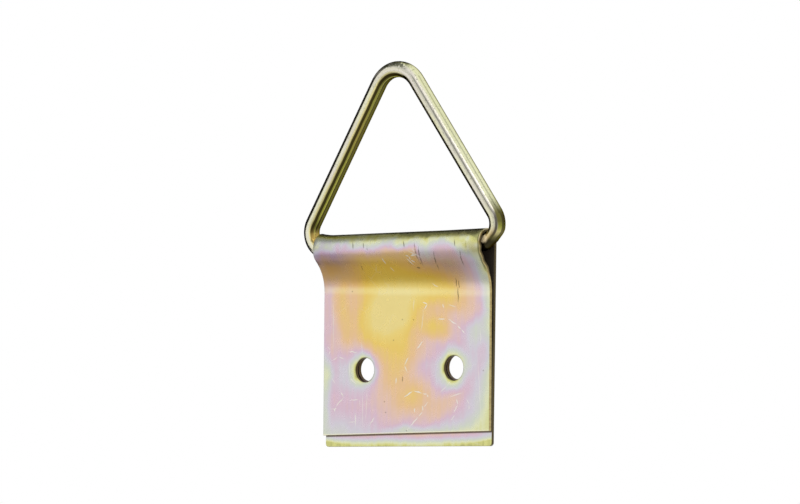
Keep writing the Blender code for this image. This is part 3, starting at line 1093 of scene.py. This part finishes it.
def fold_plate(sizes):
    """The folded strip as a bmesh: its outer face, the holes, then the sheet's thickness and edges."""
    bm = bmesh.new()
    half = sizes.width / 2
    fold_edge(bm, sizes, -half, sizes.left_shoulder, sizes.end_skew / 2)
    fold_edge(bm, sizes, half, sizes.right_shoulder, -sizes.end_skew / 2)
    bmesh.ops.bridge_loops(bm, edges=bm.edges[:])
    across = [edge for edge in bm.edges if not edge.is_boundary]
    bmesh.ops.subdivide_edges(bm, edges=across, cuts=sizes.width_cuts, use_grid_fill=True)
    face_outwards(bm)
    corners = [v for v in bm.verts if v.co.z < -sizes.front_drop - sizes.end_skew]
    bmesh.ops.bevel(
        bm, geom=corners, offset=sizes.rear_corner, offset_type="OFFSET", affect="VERTICES",
        segments=CORNER_STEPS, profile=0.5, material=-1,
    )
    raise_burrs(bm, sizes)
    open_barrel(bm, sizes)
    for front, x, z in hole_places(sizes):
        punch_hole(bm, sizes, front, x, z)
    face_outwards(bm)
    thicken(bm, sizes.sheet)
    rims = [edge for edge in hard_edges(bm) if on_front_rim(edge, sizes)]
    round_edges(bm, rims, sizes.punch_roll, PUNCH_STEPS)
    bm.normal_update()
    round_edges(bm, hard_edges(bm), sizes.edge_roll, EDGE_STEPS)
    mark_sheared(bm, sizes)
    return bm


# Wire ring

def run_wire(bm, rim, offset):
    """Draw the wire on in a straight line from the open rim at its tip."""
    made = bmesh.ops.extrude_edge_only(bm, edges=rim)["geom"]
    bmesh.ops.translate(bm, verts=verts_of(made), vec=offset)
    return edges_of(made)


def bend_wire(bm, rim, centre, turn, count):
    """Bend the wire on round an axis along Y; the turn is anticlockwise as seen from the front."""
    verts = once(v for edge in rim for v in edge.verts)
    made = bmesh.ops.spin(
        bm, geom=[*verts, *rim], cent=centre, axis=-ALONG_Y, angle=turn, steps=count,
    )
    return edges_of(made["geom_last"])


def press_corner(bm, sizes, corner):
    """Press the outside of the right corner in, between its widest point and the barrel's mouth."""
    outward = bm.verts.layers.float["outward"]
    for v in bm.verts:
        arm = Vector((v.co.x - corner.x, 0.0, v.co.z - corner.z))
        if arm.x > 0.0 and arm.z < 0.0:
            down = math.degrees(math.atan2(-arm.z, arm.x))
            share = smooth_share((down - PRESS_START) / PRESS_EASE)
            share *= smooth_share((PRESS_END - down) / PRESS_EASE)
            v.co -= sizes.press * share * (1.0 + v[outward]) / 2 * arm.normalized()


def bend_ring(sizes, hinge):
    """The wire ring as a bmesh, from one cut end round the triangle to the other."""
    wire_radius = sizes.wire / 2
    corner = Vector((sizes.base_half, 0.0, sizes.corner_radius))
    apex = Vector((0.0, 0.0, sizes.height - wire_radius - sizes.apex_radius))
    between = apex - corner
    offset = math.acos((sizes.corner_radius - sizes.apex_radius) / between.length)
    leg_normal = math.atan2(between.z, between.x) - offset
    leg_out = Vector((math.cos(leg_normal), 0.0, math.sin(leg_normal)))
    leg = (apex + sizes.apex_radius * leg_out) - (corner + sizes.corner_radius * leg_out)
    corner_turn = leg_normal + math.pi / 2
    apex_turn = math.pi - 2 * leg_normal

    bm = bmesh.new()
    outward = bm.verts.layers.float.new("outward")
    forward = bm.verts.layers.float.new("forward")
    start = Matrix.Translation((sizes.end_gap / 2, 0.0, 0.0)) @ Matrix.Rotation(math.pi / 2, 4, "Y")
    first = bmesh.ops.create_circle(
        bm, cap_ends=False, radius=wire_radius, segments=sizes.wire_sides, matrix=start,
    )
    for v in first["verts"]:
        v[outward] = -v.co.z / wire_radius
        v[forward] = -v.co.y / wire_radius
    first_rim = once(edge for v in first["verts"] for edge in v.link_edges)
    rim = run_wire(bm, first_rim, (sizes.base_half - sizes.end_gap / 2, 0.0, 0.0))
    rim = bend_wire(bm, rim, corner, corner_turn, sizes.bend_steps)
    rim = run_wire(bm, rim, leg)
    rim = bend_wire(bm, rim, apex, apex_turn, sizes.bend_steps)
    rim = run_wire(bm, rim, (leg.x, 0.0, -leg.z))
    rim = bend_wire(bm, rim, Vector((-corner.x, 0.0, corner.z)), corner_turn, sizes.bend_steps)
    rim = run_wire(bm, rim, (sizes.base_half - sizes.end_gap / 2, 0.0, 0.0))
    for ring in (first_rim, rim):
        bmesh.ops.edgeloop_fill(bm, edges=ring)
    bmesh.ops.recalc_face_normals(bm, faces=bm.faces[:])
    round_edges(bm, hard_edges(bm), sizes.end_round, EDGE_STEPS)
    press_corner(bm, sizes, corner)
    lean = Matrix.Rotation(sizes.lean, 3, "X")
    bmesh.ops.rotate(bm, verts=bm.verts[:], cent=(0.0, 0.0, 0.0), matrix=lean)
    bmesh.ops.translate(bm, verts=bm.verts[:], vec=hinge)
    return bm


# Stage

def aim(place, target):
    """A matrix that stands at a place and looks at a target along its own -Z."""
    turn = (target - place).to_track_quat("-Z", "Y")
    return Matrix.Translation(place) @ turn.to_matrix().to_4x4()


def towards(azimuth, elevation, distance):
    """A place at this distance in a direction; azimuth 0 is in front, positive to the right, in radians."""
    level = math.cos(elevation) * Vector((math.sin(azimuth), -math.cos(azimuth), 0.0))
    return distance * (level + math.sin(elevation) * ALONG_Z)


def make_camera(stage):
    """The camera at the photograph's viewing angle."""
    back = towards(stage.camera_azimuth, stage.camera_elevation, 1.0)
    roll = stage.camera_roll
    level = ALONG_Z.cross(back).normalized()
    upright = back.cross(level)
    right = math.cos(roll) * level + math.sin(roll) * upright
    up = math.cos(roll) * upright - math.sin(roll) * level
    camera = bpy.data.objects.new("camera", bpy.data.cameras.new("camera"))
    camera.data.sensor_width = stage.sensor
    camera.data.lens = stage.lens
    camera.data.clip_start = 0.01
    camera.data.clip_end = 20.0
    turn = Matrix((right, up, back)).transposed().to_4x4()
    camera.matrix_world = Matrix.Translation(stage.camera_place) @ turn
    bpy.context.scene.collection.objects.link(camera)
    bpy.context.scene.camera = camera


def flat_sheet(half, drop):
    """A level square as a bmesh, this far below the screw holes."""
    bm = bmesh.new()
    bmesh.ops.create_grid(bm, x_segments=1, y_segments=1, size=half)
    bmesh.ops.translate(bm, verts=bm.verts[:], vec=(0.0, 0.0, -drop))
    return bm


def make_floor(stage):
    """A wide pale floor that fades to white with the distance, so that no horizon shows."""
    material, tree, shader = new_material("floor_paper")
    shader.inputs["Base Color"].default_value = (*stage.floor_colour, 1.0)
    shader.inputs["Roughness"].default_value = 0.9
    place = Wired(tree).node("ShaderNodeTexCoord", output="Object")
    distance = place.node("ShaderNodeVectorMath", {"operation": "LENGTH"}, {0: place}, "Value")
    white = place.node("ShaderNodeEmission", inputs={"Color": WHITE, "Strength": 1.0})
    paper = Wired(tree, shader.outputs["BSDF"])
    fade = ease(distance, stage.fade_start, stage.fade_end)
    faded = place.node("ShaderNodeMixShader", inputs={0: fade, 1: paper, 2: white})
    tree.links.new(faded.socket, tree.nodes["Material Output"].inputs["Surface"])
    floor = finished_object("floor", flat_sheet(stage.floor_half, stage.floor_drop), material)
    floor.visible_glossy = False
    floor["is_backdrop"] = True


def hang_card(name, brightness, bm):
    """A card that only mirror images show, from a bmesh that is no longer needed."""
    material, _tree, shader = new_material(name)
    shader.inputs["Base Color"].default_value = BLACK
    shader.inputs["Roughness"].default_value = 1.0
    shader.inputs["Specular IOR Level"].default_value = 0.0
    shader.inputs["Emission Color"].default_value = WHITE
    shader.inputs["Emission Strength"].default_value = brightness
    card = finished_object(name, bm, material)
    card.visible_camera = False
    card.visible_diffuse = False
    card.visible_shadow = False
    card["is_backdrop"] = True


def make_under_card(brightness, drop, half):
    """A flat card under the object, in place of the floor's mirror image."""
    hang_card("under_card", brightness, flat_sheet(half, drop))


def make_card(name, brightness, distance, azimuths, elevations):
    """A curved card that stands round the object."""
    first, last = (math.radians(degrees) for degrees in azimuths)
    low, high = (math.tan(math.radians(degrees)) * distance for degrees in elevations)
    bm = bmesh.new()
    foot = bm.verts.new((distance * math.sin(first), -distance * math.cos(first), low))
    run_on(bm, foot, (0.0, 0.0, high - low))
    bmesh.ops.spin(
        bm, geom=[*bm.verts, *bm.edges], cent=(0.0, 0.0, 0.0), axis=ALONG_Z, angle=last - first,
        steps=CARD_STEPS,
    )
    bmesh.ops.translate(bm, verts=bm.verts[:], vec=(0.0, 0.0, CARD_MIDDLE))
    hang_card(name, brightness, bm)


def make_lamp(name, azimuth, elevation, distance, target_height, side, brightness, mirrored):
    """A soft square lamp; a brightness of 1 looks as bright as white paper."""
    data = bpy.data.lights.new(name, "AREA")
    data.shape = "SQUARE"
    data.size = side
    data.energy = brightness * math.pi * side * side
    lamp = bpy.data.objects.new(name, data)
    place = towards(math.radians(azimuth), math.radians(elevation), distance)
    lamp.matrix_world = aim(place, target_height * ALONG_Z)
    lamp.visible_camera = False
    lamp.visible_glossy = mirrored
    bpy.context.scene.collection.objects.link(lamp)


def make_world():
    """White for what is seen and mirrored, dimmer for what only lights."""
    world = bpy.data.worlds.new("studio")
    world.use_nodes = True
    tree = world.node_tree
    tree.nodes.clear()
    seen = Wired(tree).node("ShaderNodeLightPath", output="Is Camera Ray")
    path = seen.socket.node
    glossy = Wired(tree, path.outputs["Is Glossy Ray"])
    through = Wired(tree, path.outputs["Is Transmission Ray"])
    white = seen.math("MAXIMUM", glossy).math("MAXIMUM", through)
    strength = DIM_WORLD + (1.0 - DIM_WORLD) * white
    light = seen.node("ShaderNodeBackground", inputs={"Color": WHITE, "Strength": strength})
    tree.links.new(light.socket, tree.nodes.new("ShaderNodeOutputWorld").inputs["Surface"])
    bpy.context.scene.world = world


class HANGER_OT_fold_plate(bpy.types.Operator):
    """Fold the sheet strip, punch its screw holes and plate it"""

    bl_idname = "hanger.fold_plate"
    bl_label = "Fold Plate"

    def execute(self, context):
        settings = context.scene.hanger
        bm = fold_plate(settings.plate)
        plate = finished_object("folded_sheet", bm, plate_metal(settings.plate, settings.finish))
        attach(plate, "plate")
        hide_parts("folded_plate")
        return {"FINISHED"}


class HANGER_OT_bend_ring(bpy.types.Operator):
    """Bend the wire ring and plate it"""

    bl_idname = "hanger.bend_ring"
    bl_label = "Bend Ring"

    def execute(self, context):
        settings = context.scene.hanger
        hinge = (0.0, -settings.plate.barrel_radius, settings.plate.hinge_rise)
        bm = bend_ring(settings.ring, hinge)
        ring_top = (settings.plate.hinge_rise + settings.ring.height) * MILLIMETRES
        ring = finished_object("bent_wire", bm, wire_metal(settings.finish, ring_top))
        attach(ring, "ring")
        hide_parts("triangle_ring")
        return {"FINISHED"}


class HANGER_OT_set_stage(bpy.types.Operator):
    """Set up the camera, the floor and the light"""

    bl_idname = "hanger.set_stage"
    bl_label = "Set Stage"

    def execute(self, context):
        stage = context.scene.hanger.stage
        context.scene.view_settings.view_transform = "Standard"
        make_camera(stage)
        make_floor(stage)
        for card in CARDS:
            make_card(*card)
        make_under_card(*UNDER_CARD)
        for lamp in LAMPS:
            make_lamp(*lamp)
        make_world()
        return {"FINISHED"}


class HANGER_PT_panel(bpy.types.Panel):
    """Lists the hanger's steps and sizes"""

    bl_idname = "HANGER_PT_panel"
    bl_label = "Picture Hanger"
    bl_space_type = "VIEW_3D"
    bl_region_type = "UI"
    bl_category = "Hanger"

    def draw(self, context):
        for step in (HANGER_OT_fold_plate, HANGER_OT_bend_ring, HANGER_OT_set_stage):
            self.layout.operator(step.bl_idname)
        settings = context.scene.hanger
        for group in (settings.plate, settings.ring, settings.finish, settings.stage):
            box = self.layout.box()
            for name in group.__annotations__:
                box.prop(group, name)


CLASSES = (
    HangerPlateSizes, HangerRingSizes, HangerFinish, HangerStage, HangerSettings, HANGER_OT_fold_plate,
    HANGER_OT_bend_ring, HANGER_OT_set_stage, HANGER_PT_panel,
)


def register():
    for item in CLASSES:
        bpy.utils.register_class(item)
    bpy.types.Scene.hanger = PointerProperty(type=HangerSettings)


def unregister():
    del bpy.types.Scene.hanger
    for item in reversed(CLASSES):
        bpy.utils.unregister_class(item)


def main():
    register()
    bpy.ops.hanger.fold_plate()
    bpy.ops.hanger.bend_ring()
    bpy.ops.hanger.set_stage()
    boxes = {"cad": cad_box, "visual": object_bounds()}
    boxes = {name: [list(corner) for corner in box] for name, box in boxes.items()}


if __name__ == "__main__":
    main()
